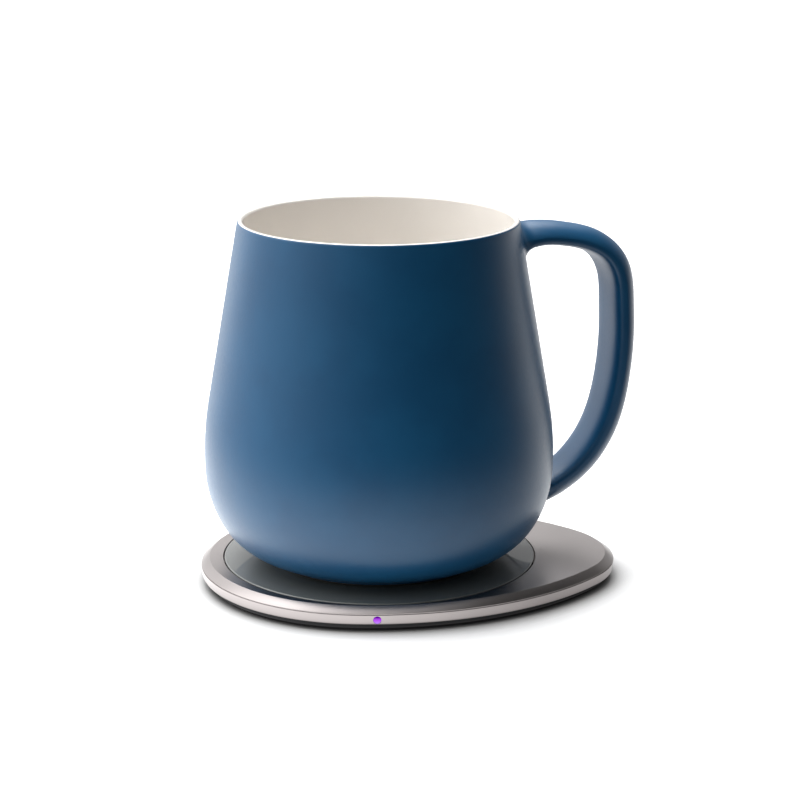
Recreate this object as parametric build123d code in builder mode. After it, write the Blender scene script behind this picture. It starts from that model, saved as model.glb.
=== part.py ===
from build123d import *
import math
import os

os.makedirs("parts", exist_ok=True)

# A self heating mug on its wireless pad, in millimetres.
# Origin: on the table, under the mug's axis. +Z is up and +X points to the mug's handle.

# Clearances that all pieces share
overrun = 1.0  # how far a cut runs past the face it opens
fit_gap = 0.15  # loose fit of a piece in its pocket
rest_gap = 0.1  # between the standing mug and the glass

# Cup. Leans and turns are in degrees
cup_height = 93.8
belly_radius = 48.0
wall_lean = 9.8
belly_arc_radius = 86.0
hip_arc_radius = 31.3
heel_arc_radius = 19.7
belly_turn = 3.0
hip_turn = 29.8
heel_turn = 74.6
foot_inset = 18.0  # from the belly in to the foot
foot_height = 0.7  # of the foot's upright edge under the heel
foot_wall = 2.9
cup_wall = 3.4
floor_wall = 3.4
well_corner_radius = 9.0
lip_wall = 1.6
lip_round_share = 0.47  # of the lip's wall

# Handle. Its centreline leaves the wall under the lip and comes back to it over the foot
handle_overhang = 23.2  # from the belly out to the centreline's furthest point
handle_top_drop = 6.9
handle_low_height = 12.7
handle_wide = 17.0
handle_thick = 8.0
handle_top_blend = 2.4
handle_low_blend = 4.0
# Share of the way out from the wall, share of the way up, from root to root
handle_path_shares = [
    (-0.115, 0.973),
    (0.028, 0.986),
    (0.188, 0.996),
    (0.458, 0.986),
    (0.647, 0.965),
    (0.840, 0.916),
    (0.948, 0.850),
    (0.996, 0.725),
    (1.005, 0.609),
    (0.959, 0.423),
    (0.818, 0.258),
    (0.536, 0.120),
    (0.283, 0.048),
    (-0.013, -0.005),
    (-0.263, -0.040),
]
# Share of the way along it, of its width and of its thickness
handle_section_shares = [
    (0.00, 0.98, 0.96),
    (0.05, 0.96, 0.89),
    (0.10, 0.94, 0.78),
    (0.16, 0.93, 0.75),
    (0.24, 0.94, 0.80),
    (0.31, 0.96, 0.91),
    (0.38, 0.98, 0.99),
    (0.46, 1.00, 1.00),
    (0.55, 1.00, 0.97),
    (0.65, 0.98, 0.96),
    (0.75, 0.94, 0.93),
    (0.85, 0.90, 0.86),
    (0.93, 0.89, 0.79),
    (1.00, 0.92, 0.77),
]

# Pieces in the mug's base, from the foot up
foot_ring_height = 0.5
foot_ring_margin = 0.6
cover_recess = 0.3
cover_wall = 1.8
cover_edge = 0.4
seal_ledge = 1.7
seal_height = 0.5
seal_margin = 0.2
coil_height = 1.2
coil_turns = 3
coil_turn_gap = 0.6
coil_bore_radius = 8.0
coil_margin = 2.8
ferrite_height = 0.8
ferrite_margin = 0.4
carrier_wall = 1.3
carrier_web = 0.8
lead_radius = 0.45
board_height = 0.8
component_room = 1.9
insulation_height = 2.0
heater_height = 0.3
heater_margin = 2.0
heater_bore_radius = 8.0  # kept clear round the sensor
heater_track_wide = 2.0
heater_track_gap = 2.2
sensor_radius = 1.6
sensor_height = 1.1
sensor_leg_radius = 0.3

# Pad in plan: an egg of four arcs round the glass disc, its tip turned from the handle
pad_turn = -15.6
glass_radius = 43.15
glass_gap = 0.35
chamfer_wide = 2.44
pad_back_radius = 46.0
pad_setback = 3.64
tip_reach = 69.4
tip_radius = 28.8
flank_radius = 76.6

# Pad in height, from the table up
sole_height = 0.8
sole_inset = 3.0
sole_groove_inset = 1.4
sole_groove_wide = 1.2
sole_groove_depth = 0.3
plate_height = 1.4
plate_inset = 1.5
plate_edge = 0.4
tray_floor = 0.5
pad_ferrite_height = 0.6
coil_air = 0.5
adhesive_height = 0.15
adhesive_margin = 0.5
glass_height = 2.0
glass_edge = 0.25
glass_proud = 0.2
chamfer_drop = 1.65
groove_height = 0.25
groove_depth = 0.3
wall_top_inset = 0.05
wall_foot_inset = 0.3
wall_foot_round = 0.6
shell_wall = 2.2
roof_wall = 1.3
ledge_height = 1.25
ledge_wide = 4.0
disc_wall = 1.5
room_margin = 1.3

# Pieces in the pad
tray_margin = 0.7
tray_rim = 1.4
tray_ribs = 6
tray_rib_wide = 1.2
tray_rib_drop = 0.6
pad_coil_radius = 23.0
pad_coil_bore_radius = 7.0
pad_ferrite_margin = 1.0
tray_post_radius = 2.8
surface_sensor_radius = 2.0
pad_lead_spacing = 3.0
pad_lead_landing = 3.5
film_height = 0.2
film_margin = 0.3
board_margin = 0.7
board_start = 34.0
screw_count = 4
screw_turn = 45.0
screw_radius = 0.8
screw_head_height = 0.7
screw_length = 2.6
thread_gap = 0.05
boss_wall = 1.05

# Inlet and indicator
socket_wide = 8.94
socket_height = 3.16
socket_depth = 7.35
socket_skin = 0.3
socket_back = 1.5
socket_tab = 1.0
socket_tab_long = 1.5
socket_tab_height = 0.25
tongue_wide = 6.7
tongue_height = 0.7
tongue_recess = 0.8
slot_wide = 9.2
slot_margin = 0.1
indicator_turn = -92.8
indicator_radius = 1.05
indicator_gap = 0.05
indicator_round = 0.3
led_wide = 1.6
led_deep = 0.8
led_height = 0.9
ribbon_height = 0.2
ribbon_wide = 1.2
ribbon_reach = 41.0

# Board pieces: length, width and height, and where they stand
rectifier_length, rectifier_wide, rectifier_height = 6.0, 6.0, 0.9
control_length, control_wide, control_height = 5.0, 4.0, 0.8
capacitor_length, capacitor_wide, capacitor_height = 3.2, 1.6, 1.4
inductor_length, inductor_wide, inductor_height = 5.0, 5.0, 1.8
rectifier_place_shares = (-0.50, 0.30)
control_place_shares = (-0.45, -0.35)
capacitor_place_shares = (0.20, -0.60)
capacitor_count = 3
capacitor_gap = 1.2
driver_turn = 14.0
pad_control_turn = -14.0
inductor_turn = 25.0
pad_capacitor_turn = -21.0
chip_margin = 1.0

# Heights that follow, from the table
plate_top = sole_height + plate_height
pad_ferrite_z = plate_top + tray_floor
pad_coil_z = pad_ferrite_z + pad_ferrite_height
glass_bottom = pad_coil_z + coil_height + coil_air
glass_top = glass_bottom + glass_height
land_z = glass_top - glass_proud
chamfer_z = land_z - chamfer_drop
groove_z = chamfer_z - groove_height
roof_z = land_z - roof_wall
ledge_top = glass_bottom - adhesive_height
ledge_bottom = ledge_top - ledge_height
film_top = plate_top + film_height
pad_board_top = film_top + board_height
pad_lead_z = max(pad_board_top, pad_coil_z) + lead_radius
wall_middle_z = (plate_top + groove_z) / 2
mug_z = glass_top + rest_gap
cup_z = mug_z + foot_ring_height
cover_z = cup_z + cover_recess
cover_top = cover_z + cover_wall
seal_top = cover_top + seal_height
ferrite_z = cover_top + coil_height
web_z = ferrite_z + ferrite_height
mug_board_z = web_z + carrier_web
mug_board_top = mug_board_z + board_height
insulation_z = mug_board_top + component_room
insulation_top = insulation_z + insulation_height
cavity_top = insulation_top + heater_height
well_floor_z = cavity_top + floor_wall
lip_z = cup_z + cup_height

# Radii that follow
foot_outer_radius = belly_radius - foot_inset
rebate_radius = foot_outer_radius - foot_wall
cavity_radius = rebate_radius - seal_ledge
cover_radius = rebate_radius - fit_gap
carrier_radius = cavity_radius - fit_gap
carrier_bore_radius = carrier_radius - carrier_wall
ferrite_radius = carrier_bore_radius - ferrite_margin
mug_coil_radius = carrier_bore_radius - coil_margin
mug_board_radius = carrier_bore_radius - fit_gap
heater_radius = cavity_radius - heater_margin
heater_pitch = heater_track_wide + heater_track_gap
heater_loops = math.floor((heater_radius - heater_bore_radius + heater_track_gap) / heater_pitch)
recess_radius = glass_radius + glass_gap
ledge_bore_radius = recess_radius - ledge_wide
tray_radius = ledge_bore_radius - tray_margin
screw_circle_radius = (recess_radius + ledge_bore_radius) / 2
screw_head_radius = screw_radius + screw_head_height
screw_hole_radius = screw_radius + thread_gap
board_inset = shell_wall + room_margin + board_margin
board_inner_radius = recess_radius + disc_wall + board_margin
tip_x = tip_reach - pad_setback
socket_front_x = tip_x - shell_wall
socket_back_x = socket_front_x - socket_depth


def polar(center, radius, angle):
    turn = math.radians(angle)
    return (center[0] + radius * math.cos(turn), center[1] + radius * math.sin(turn))


def cup_centers(level):
    """Centres of the belly, hip and heel arcs, and the heel's end, for the belly at a level."""
    belly = (belly_radius - belly_arc_radius, level)
    hip = polar(belly, belly_arc_radius - hip_arc_radius, -belly_turn)
    heel = polar(hip, hip_arc_radius - heel_arc_radius, -hip_turn)
    return belly, hip, heel, polar(heel, heel_arc_radius, -heel_turn)


# Cup section: belly, hip and heel arcs in one tangent run under a straight leaning wall. The
# belly stands as high as lets the heel run out to the top of the foot's edge
heel_end_x, heel_end_drop = cup_centers(0)[3]
foot_shoulder_z = cup_z + foot_height
heel_rise = (heel_end_x - foot_outer_radius) / math.tan(math.radians(heel_turn))
belly_z = foot_shoulder_z + heel_rise - heel_end_drop
belly_center, hip_center, heel_center, heel_end = cup_centers(belly_z)
wall_start = polar(belly_center, belly_arc_radius, wall_lean)
hip_start = polar(belly_center, belly_arc_radius, -belly_turn)

handle_reach = belly_radius + handle_overhang
handle_low_z = cup_z + handle_low_height
handle_top_z = lip_z - handle_top_drop
handle_middle_z = (handle_low_z + handle_top_z) / 2


def wall_radius(z):
    """The cup's outer radius at a height above the table."""
    if z > wall_start[1]:
        return wall_start[0] - (z - wall_start[1]) * math.tan(math.radians(wall_lean))
    if z > hip_start[1]:
        return belly_center[0] + math.sqrt(belly_arc_radius**2 - (z - belly_center[1]) ** 2)
    return hip_center[0] + math.sqrt(hip_arc_radius**2 - (z - hip_center[1]) ** 2)


lip_radius = wall_radius(lip_z)

# The well's wall runs from the lip's inner edge to touch the belly arc, drawn in by the wall
well_lip = (lip_radius - lip_wall, lip_z)
well_arc_radius = belly_arc_radius - cup_wall
lip_reach = math.hypot(well_lip[0] - belly_center[0], well_lip[1] - belly_center[1])
lip_angle = math.degrees(math.atan2(well_lip[1] - belly_center[1], well_lip[0] - belly_center[0]))
well_lean = lip_angle - math.degrees(math.acos(well_arc_radius / lip_reach))
well_wall_start = polar(belly_center, well_arc_radius, well_lean)
well_heel_end = polar(heel_center, heel_arc_radius - cup_wall, -heel_turn)

# Half sections are drawn behind the axis, so that the seam of each turned form faces away
# from the handle
half_section = Plane(origin=(0, 0, 0), x_dir=(-1, 0, 0), z_dir=(0, 1, 0))


def cup_arcs(inset, lean):
    CenterArc(belly_center, belly_arc_radius - inset, -belly_turn, belly_turn + lean)
    CenterArc(hip_center, hip_arc_radius - inset, -hip_turn, hip_turn - belly_turn)
    CenterArc(heel_center, heel_arc_radius - inset, -heel_turn, heel_turn - hip_turn)


def mug_board_spot(along, across):
    return (along * mug_board_radius, across * mug_board_radius)


def handle_point(across, up):
    z = handle_low_z + up * (handle_top_z - handle_low_z)
    return (wall_radius(z) + across * (handle_reach - wall_radius(z)), z)


def spiral(bore_radius, outer_radius, turns, gap):
    """A flat winding's face: half circles that grow by half a pitch, and end beside +X."""
    pitch = (outer_radius - bore_radius + gap) / (turns + 1)
    band = pitch - gap
    end_radius = bore_radius + turns * pitch
    with BuildLine() as line:
        for half in range(2 * turns):
            side = 1 if half % 2 == 0 else -1
            radius = bore_radius + (2 * half + 1) * pitch / 4
            start = 0 if side == 1 else 180
            CenterArc((-side * pitch / 4, 0), radius, start, 180)
            CenterArc((-side * pitch / 4, 0), radius + band, start, 180)
        Line((bore_radius, 0), (bore_radius + band, 0))
        Line((end_radius, 0), (end_radius + band, 0))
    make_face(line.edges())


# Pad plan: x runs to the tip, y across, from the glass disc's centre
back_center = (-pad_setback, 0)
tip_center = (tip_x - tip_radius, 0)
flank_from_back = flank_radius - pad_back_radius
flank_from_tip = flank_radius - tip_radius
center_span = tip_center[0] - back_center[0]
flank_along = (flank_from_back**2 - flank_from_tip**2 + center_span**2) / (2 * center_span)
flank_drop = math.sqrt(flank_from_back**2 - flank_along**2)
flank_center = (back_center[0] + flank_along, -flank_drop)
back_join = math.degrees(math.atan2(flank_drop, -flank_along))
tip_join = math.degrees(math.atan2(flank_drop, center_span - flank_along))


def pad_outline(inset, mode=Mode.ADD):
    with BuildLine() as line:
        CenterArc(back_center, pad_back_radius - inset, back_join, 360 - 2 * back_join)
        flank = CenterArc(flank_center, flank_radius - inset, tip_join, back_join - tip_join)
        CenterArc(tip_center, tip_radius - inset, -tip_join, 2 * tip_join)
        mirror(flank, about=Plane.XZ)
    make_face(line.edges(), mode=mode)


def board_outline(margin):
    """The crescent between the disc's wall and the tip, with a notch for the inlet."""
    notch_wide = socket_wide + 2 * fit_gap
    pad_outline(board_inset - margin)
    Circle(board_inner_radius - margin, mode=Mode.SUBTRACT)
    with Locations((board_start - margin, 0)):
        Rectangle(2 * tip_x, 4 * pad_back_radius, align=(Align.MAX, Align.CENTER), mode=Mode.SUBTRACT)
    with Locations((socket_back_x - fit_gap, 0)):
        Rectangle(tip_x, notch_wide, align=(Align.MIN, Align.CENTER), mode=Mode.SUBTRACT)


def pad_level(height):
    return Plane.XY.rotated((0, 0, pad_turn)).offset(height)


def pad_facing(x, y, z, angle):
    """A plane at a place in the pad's plan that faces outwards at an angle to the tip's axis."""
    place = polar((0, 0), math.hypot(x, y), pad_turn + math.degrees(math.atan2(y, x)))
    turn = math.radians(pad_turn + angle)
    return Plane(
        origin=(place[0], place[1], z),
        x_dir=(-math.sin(turn), math.cos(turn), 0),
        z_dir=(math.cos(turn), math.sin(turn), 0),
    )


def screw_places():
    return PolarLocations(screw_circle_radius, screw_count, start_angle=screw_turn)


indicator_center = (flank_center[0], -flank_center[1])
indicator_place = polar(indicator_center, flank_radius - shell_wall, indicator_turn)
indicator_plane = pad_facing(*indicator_place, wall_middle_z, indicator_turn)
socket_plane = pad_facing(socket_front_x, 0, wall_middle_z, 0)

# Mug body: turned outer form, handle blended on, then the well and the base cavity cut out
with BuildPart() as mug_body:
    with BuildSketch(half_section):
        with BuildLine():
            cup_arcs(0, wall_lean)
            Polyline(
                heel_end,
                (foot_outer_radius, foot_shoulder_z),
                (foot_outer_radius, cup_z),
                (0, cup_z),
                (0, lip_z),
                (lip_radius, lip_z),
                wall_start,
            )
        make_face()
    revolve(axis=Axis.Z)
    with BuildLine(Plane.XZ) as handle_line:
        Spline(*[handle_point(across, up) for across, up in handle_path_shares])
    for along, wide, thick in handle_section_shares:
        section = Plane(origin=handle_line.line @ along, x_dir=(0, 1, 0), z_dir=handle_line.line % along)
        with BuildSketch(section):
            Ellipse(wide * handle_wide / 2, thick * handle_thick / 2)
    loft()
    roots = mug_body.edges(Select.NEW)
    fillet(roots.filter_by(lambda edge: edge.center().Z > handle_middle_z), handle_top_blend)
    roots = mug_body.edges().filter_by(
        lambda edge: edge.geom_type == GeomType.BSPLINE
        and edge.center().X < handle_point(0.5, 0)[0]
        and edge.center().Z < handle_middle_z
        and edge.length < 3 * handle_wide
    )
    fillet(roots, handle_low_blend)
    with BuildSketch(half_section):
        with BuildLine():
            cup_arcs(cup_wall, well_lean)
            Polyline(
                well_heel_end,
                (0, well_heel_end[1]),
                (0, lip_z + overrun),
                (well_lip[0], lip_z + overrun),
                well_lip,
                well_wall_start,
            )
        make_face()
        with Locations((0, well_floor_z)):
            Rectangle(2 * belly_radius, cup_height, align=(Align.MIN, Align.MAX), mode=Mode.SUBTRACT)
    revolve(axis=Axis.Z, mode=Mode.SUBTRACT)
    with BuildSketch(Plane.XY.offset(cup_z)):
        Circle(rebate_radius)
    extrude(amount=seal_top - cup_z, mode=Mode.SUBTRACT)
    with BuildSketch(Plane.XY.offset(cup_z)):
        Circle(cavity_radius)
    extrude(amount=cavity_top - cup_z, mode=Mode.SUBTRACT)
    fillet(mug_body.edges().group_by(Axis.Z)[-1], lip_wall * lip_round_share)
    rings = mug_body.edges().filter_by(GeomType.CIRCLE)
    fillet(rings.group_by(lambda edge: abs(edge.center().Z - well_floor_z))[0], well_corner_radius)

# Mug base, from the foot up
with BuildPart() as foot_ring:
    with BuildSketch(Plane.XY.offset(mug_z)):
        Circle(foot_outer_radius - foot_ring_margin)
        Circle(rebate_radius + foot_ring_margin, mode=Mode.SUBTRACT)
    extrude(amount=foot_ring_height)

with BuildPart() as base_cover:
    with BuildSketch(Plane.XY.offset(cover_z)):
        Circle(cover_radius)
    extrude(amount=cover_wall)
    chamfer(base_cover.edges().group_by(Axis.Z)[0], cover_edge)

with BuildPart() as cover_seal:
    with BuildSketch(Plane.XY.offset(cover_top)):
        Circle(cover_radius - seal_margin)
        Circle(cavity_radius + seal_margin, mode=Mode.SUBTRACT)
    extrude(amount=seal_height)

with BuildPart() as receiver_coil:
    with BuildSketch(Plane.XY.offset(cover_top)):
        spiral(coil_bore_radius, mug_coil_radius, coil_turns, coil_turn_gap)
    extrude(amount=coil_height)

with BuildPart() as receiver_ferrite:
    with BuildSketch(Plane.XY.offset(ferrite_z)):
        Circle(ferrite_radius)
        Circle(coil_bore_radius, mode=Mode.SUBTRACT)
        with Locations((mug_coil_radius, 0)):
            Rectangle(ferrite_radius, 4 * lead_radius, align=(Align.MIN, Align.CENTER), mode=Mode.SUBTRACT)
    extrude(amount=ferrite_height)

with BuildPart() as mug_coil_leads:
    with BuildSketch(Plane.XY.offset(cover_top)):
        with Locations((coil_bore_radius - lead_radius, 0), (mug_coil_radius + lead_radius, 0)):
            Circle(lead_radius)
    extrude(amount=mug_board_z - cover_top)

# Board carrier: a wall round the coil with a web that the board lies on
with BuildPart() as board_carrier:
    with BuildSketch(Plane.XY.offset(cover_top)):
        Circle(carrier_radius)
        Circle(carrier_bore_radius, mode=Mode.SUBTRACT)
    extrude(amount=insulation_z - cover_top)
    with BuildSketch(Plane.XY.offset(web_z)):
        Circle(carrier_bore_radius)
        Circle(coil_bore_radius, mode=Mode.SUBTRACT)
        with Locations((mug_coil_radius + lead_radius, 0)):
            Circle(2 * lead_radius, mode=Mode.SUBTRACT)
    extrude(amount=carrier_web)

with BuildPart() as mug_board:
    with BuildSketch(Plane.XY.offset(mug_board_z)):
        Circle(mug_board_radius)
    extrude(amount=board_height)

with BuildPart() as rectifier_chip:
    with BuildSketch(Plane.XY.offset(mug_board_top)):
        with Locations(mug_board_spot(*rectifier_place_shares)):
            Rectangle(rectifier_length, rectifier_wide)
    extrude(amount=rectifier_height)

with BuildPart() as mug_control_chip:
    with BuildSketch(Plane.XY.offset(mug_board_top)):
        with Locations(mug_board_spot(*control_place_shares)):
            Rectangle(control_length, control_wide)
    extrude(amount=control_height)

with BuildPart() as mug_capacitors:
    with BuildSketch(Plane.XY.offset(mug_board_top)):
        with Locations(mug_board_spot(*capacitor_place_shares)):
            with GridLocations(0, capacitor_wide + capacitor_gap, 1, capacitor_count):
                Rectangle(capacitor_length, capacitor_wide)
    extrude(amount=capacitor_height)

# Heater: one printed track that doubles back from loop to loop beside a narrow break
track_middle = heater_radius - heater_track_wide / 2
break_middle = (heater_track_gap + heater_track_wide) / 2
last_side = -1 if heater_loops % 2 == 0 else 1
heater_ends = [
    (track_middle, -break_middle),
    (track_middle - (heater_loops - 1) * heater_pitch, last_side * break_middle),
]
with BuildPart() as heater_track:
    with BuildSketch(Plane.XY.offset(insulation_top)):
        for loop in range(heater_loops):
            Circle(heater_radius - loop * heater_pitch)
            Circle(heater_radius - loop * heater_pitch - heater_track_wide, mode=Mode.SUBTRACT)
        Rectangle(heater_radius, heater_track_gap, align=(Align.MIN, Align.CENTER), mode=Mode.SUBTRACT)
        for loop in range(heater_loops - 1):
            side = 1 if loop % 2 == 0 else -1
            with Locations((track_middle - (loop + 0.5) * heater_pitch, side * break_middle)):
                Rectangle(heater_pitch, heater_track_wide)
    extrude(amount=heater_height)

with BuildPart() as heater_leads:
    with BuildSketch(Plane.XY.offset(mug_board_top)):
        with Locations(heater_ends):
            Circle(lead_radius)
    extrude(amount=insulation_top - mug_board_top)

with BuildPart() as insulation_pad:
    with BuildSketch(Plane.XY.offset(insulation_z)):
        Circle(cavity_radius - fit_gap)
        Circle(sensor_radius + fit_gap, mode=Mode.SUBTRACT)
        with Locations(heater_ends):
            Circle(lead_radius + fit_gap, mode=Mode.SUBTRACT)
    extrude(amount=insulation_height)

with BuildPart() as thermistor:
    with BuildSketch(Plane.XY.offset(cavity_top - sensor_height)):
        Circle(sensor_radius)
    extrude(amount=sensor_height)
    with BuildSketch(Plane.XY.offset(mug_board_top)):
        with GridLocations(sensor_radius, 0, 2, 1):
            Circle(sensor_leg_radius)
    extrude(amount=cavity_top - sensor_height - mug_board_top)

# Pad shell: leaning wall, dark seam groove, chamfer and land, then its recess and rooms
with BuildPart() as pad_shell:
    with BuildSketch(pad_level(plate_top)):
        pad_outline(wall_foot_inset)
    with BuildSketch(pad_level(groove_z)):
        pad_outline(wall_top_inset)
    loft(ruled=True)
    fillet(pad_shell.edges().group_by(Axis.Z)[0], wall_foot_round)
    with BuildSketch(pad_level(groove_z)):
        pad_outline(groove_depth)
    extrude(amount=groove_height)
    with BuildSketch(pad_level(chamfer_z)):
        pad_outline(0)
    with BuildSketch(pad_level(land_z)):
        pad_outline(chamfer_wide)
    loft(ruled=True)
    with BuildSketch(pad_level(plate_top)):
        pad_outline(shell_wall)
    extrude(amount=ledge_bottom - plate_top, mode=Mode.SUBTRACT)
    with BuildSketch(pad_level(plate_top)):
        Circle(ledge_bore_radius)
    extrude(amount=glass_top - plate_top, mode=Mode.SUBTRACT)
    with BuildSketch(pad_level(ledge_top)):
        Circle(recess_radius)
    extrude(amount=glass_top - ledge_top, mode=Mode.SUBTRACT)
    with BuildSketch(pad_level(plate_top)):
        pad_outline(shell_wall + room_margin)
        Circle(recess_radius + disc_wall, mode=Mode.SUBTRACT)
        with Locations((board_start - board_margin, 0)):
            Rectangle(2 * tip_x, 4 * pad_back_radius, align=(Align.MAX, Align.CENTER), mode=Mode.SUBTRACT)
    extrude(amount=roof_z - plate_top, mode=Mode.SUBTRACT)
    with BuildSketch(pad_level(plate_top)):
        with Locations((socket_front_x, 0)):
            Rectangle(socket_depth, socket_wide + 2 * fit_gap, align=(Align.MAX, Align.CENTER))
    extrude(amount=wall_middle_z + socket_height / 2 + fit_gap - plate_top, mode=Mode.SUBTRACT)
    with BuildSketch(socket_plane):
        SlotOverall(slot_wide, groove_z - plate_top - 2 * slot_margin)
    extrude(amount=shell_wall + overrun, mode=Mode.SUBTRACT)
    with BuildSketch(pad_level(plate_top)):
        with Locations((ledge_bore_radius - overrun, 0)):
            channel_long = board_inner_radius - ledge_bore_radius + 2 * overrun
            Rectangle(channel_long, 2 * pad_lead_spacing, align=(Align.MIN, Align.CENTER))
    extrude(amount=pad_lead_z + lead_radius + fit_gap - plate_top, mode=Mode.SUBTRACT)
    with BuildSketch(pad_level(plate_top)):
        with screw_places():
            Circle(screw_hole_radius + boss_wall)
    extrude(amount=ledge_bottom - plate_top)
    with BuildSketch(pad_level(plate_top)):
        with screw_places():
            Circle(screw_hole_radius)
    extrude(amount=sole_height + screw_length + fit_gap - plate_top, mode=Mode.SUBTRACT)
    with BuildSketch(indicator_plane):
        Circle(indicator_radius + indicator_gap)
    extrude(amount=shell_wall + overrun, mode=Mode.SUBTRACT)

with BuildPart() as glass_disc:
    with BuildSketch(pad_level(glass_bottom)):
        Circle(glass_radius)
    extrude(amount=glass_height)
    chamfer(glass_disc.edges().group_by(Axis.Z)[-1], glass_edge)

with BuildPart() as glass_adhesive:
    with BuildSketch(pad_level(ledge_top)):
        Circle(glass_radius - adhesive_margin)
        Circle(ledge_bore_radius + adhesive_margin, mode=Mode.SUBTRACT)
    extrude(amount=adhesive_height)

# Coil tray: floor, middle post, rim and ribs, with a way out for the coil's leads
with BuildPart() as coil_tray:
    with BuildSketch(pad_level(plate_top)):
        Circle(tray_radius)
    extrude(amount=tray_floor)
    with BuildSketch(pad_level(plate_top)):
        Circle(tray_post_radius)
    extrude(amount=pad_coil_z - plate_top)
    with BuildSketch(pad_level(plate_top)):
        Circle(tray_radius)
        Circle(tray_radius - tray_rim, mode=Mode.SUBTRACT)
    extrude(amount=glass_bottom - fit_gap - plate_top)
    rib_start = pad_coil_radius + pad_ferrite_margin + fit_gap
    rib_end = tray_radius - tray_rim
    with BuildSketch(pad_level(pad_ferrite_z)):
        with PolarLocations((rib_start + rib_end) / 2, tray_ribs, start_angle=180 / tray_ribs):
            Rectangle(rib_end - rib_start + fit_gap, tray_rib_wide)
    extrude(amount=glass_bottom - tray_rib_drop - pad_ferrite_z)
    with BuildSketch(pad_level(pad_ferrite_z)):
        with Locations((rib_end - overrun, 0)):
            Rectangle(tray_rim + 2 * overrun, 2 * pad_lead_spacing, align=(Align.MIN, Align.CENTER))
    extrude(amount=glass_bottom - pad_ferrite_z, mode=Mode.SUBTRACT)

with BuildPart() as transmitter_ferrite:
    with BuildSketch(pad_level(pad_ferrite_z)):
        Circle(pad_coil_radius + pad_ferrite_margin)
        Circle(tray_post_radius + fit_gap, mode=Mode.SUBTRACT)
    extrude(amount=pad_ferrite_height)

with BuildPart() as transmitter_coil:
    with BuildSketch(pad_level(pad_coil_z)):
        spiral(pad_coil_bore_radius, pad_coil_radius, coil_turns, coil_turn_gap)
    extrude(amount=coil_height)

with BuildPart() as surface_sensor:
    with BuildSketch(pad_level(pad_coil_z)):
        Circle(surface_sensor_radius)
    extrude(amount=glass_bottom - pad_coil_z)

# Two tails from the winding's rim to the board. The winding's last turn ends beside them
pad_coil_pitch = (pad_coil_radius - pad_coil_bore_radius + coil_turn_gap) / (coil_turns + 1)
pad_lead_end = board_inner_radius + pad_lead_landing
with BuildPart() as pad_coil_leads:
    for start, side in ((pad_coil_radius, -1), (pad_coil_radius - pad_coil_pitch, 1)):
        with BuildSketch(pad_facing(pad_lead_end, side * pad_lead_spacing / 2, pad_lead_z, 0)):
            Circle(lead_radius)
        extrude(amount=start - pad_lead_end)

with BuildPart() as board_film:
    with BuildSketch(pad_level(plate_top)):
        board_outline(film_margin)
    extrude(amount=film_height)

with BuildPart() as pad_board:
    with BuildSketch(pad_level(film_top)):
        board_outline(0)
    extrude(amount=board_height)


def board_spot(turn, length):
    """Beside the disc's wall on the pad's board, at an angle to the tip's axis."""
    return PolarLocations(board_inner_radius + chip_margin + length / 2, 1, start_angle=turn)


with BuildPart() as driver_chip:
    with BuildSketch(pad_level(pad_board_top)):
        with board_spot(driver_turn, rectifier_length):
            Rectangle(rectifier_length, rectifier_wide)
    extrude(amount=rectifier_height)

with BuildPart() as pad_control_chip:
    with BuildSketch(pad_level(pad_board_top)):
        with board_spot(pad_control_turn, control_length):
            Rectangle(control_length, control_wide)
    extrude(amount=control_height)

with BuildPart() as pad_inductor:
    with BuildSketch(pad_level(pad_board_top)):
        with board_spot(inductor_turn, inductor_length):
            RectangleRounded(inductor_length, inductor_wide, capacitor_wide / 2)
    extrude(amount=inductor_height)

with BuildPart() as pad_capacitors:
    with BuildSketch(pad_level(pad_board_top)):
        with board_spot(pad_capacitor_turn, capacitor_length):
            with GridLocations(0, capacitor_wide + capacitor_gap, 1, capacitor_count):
                Rectangle(capacitor_length, capacitor_wide)
    extrude(amount=capacitor_height)

# Inlet: a rounded metal sleeve, its back block, its contact tongue and two tabs on the board
with BuildPart() as usb_c_socket:
    with BuildSketch(socket_plane):
        SlotOverall(socket_wide, socket_height)
        SlotOverall(socket_wide - 2 * socket_skin, socket_height - 2 * socket_skin, mode=Mode.SUBTRACT)
    extrude(amount=-socket_depth)
    with BuildSketch(socket_plane.offset(-socket_depth)):
        SlotOverall(socket_wide - socket_skin, socket_height - socket_skin)
    extrude(amount=socket_back)
    with BuildSketch(socket_plane.offset(-socket_depth)):
        Rectangle(tongue_wide, tongue_height)
    extrude(amount=socket_depth - tongue_recess)
    with BuildSketch(pad_level(pad_board_top)):
        with Locations((socket_back_x + socket_back, 0)):
            tab_span = socket_wide + 2 * socket_tab
            Rectangle(socket_tab_long, tab_span)
            Rectangle(socket_tab_long, socket_wide - socket_skin, mode=Mode.SUBTRACT)
    extrude(amount=socket_tab_height)

# Indicator: a clear pipe through the wall, the lamp behind it and the ribbon it stands on
with BuildPart() as light_pipe:
    with BuildSketch(indicator_plane):
        Circle(indicator_radius)
    extrude(amount=shell_wall - (wall_top_inset + wall_foot_inset) / 2)
    outwards = Axis(indicator_plane.origin, indicator_plane.z_dir)
    fillet(light_pipe.faces().sort_by(outwards)[-1].edges(), indicator_round)

led_radius = flank_radius - shell_wall - led_deep / 2 - indicator_gap
led_place = polar(indicator_center, led_radius, indicator_turn)
with BuildPart() as led_ribbon:
    with BuildSketch(pad_level(plate_top)):
        pad_outline(shell_wall + indicator_gap)
        pad_outline(shell_wall + indicator_gap + ribbon_wide, Mode.SUBTRACT)
        with Locations((led_place[0] - led_wide, 0)):
            ribbon_long = ribbon_reach - led_place[0] + led_wide
            Rectangle(ribbon_long, 2 * pad_back_radius, align=(Align.MIN, Align.MAX), mode=Mode.INTERSECT)
    extrude(amount=ribbon_height)

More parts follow.
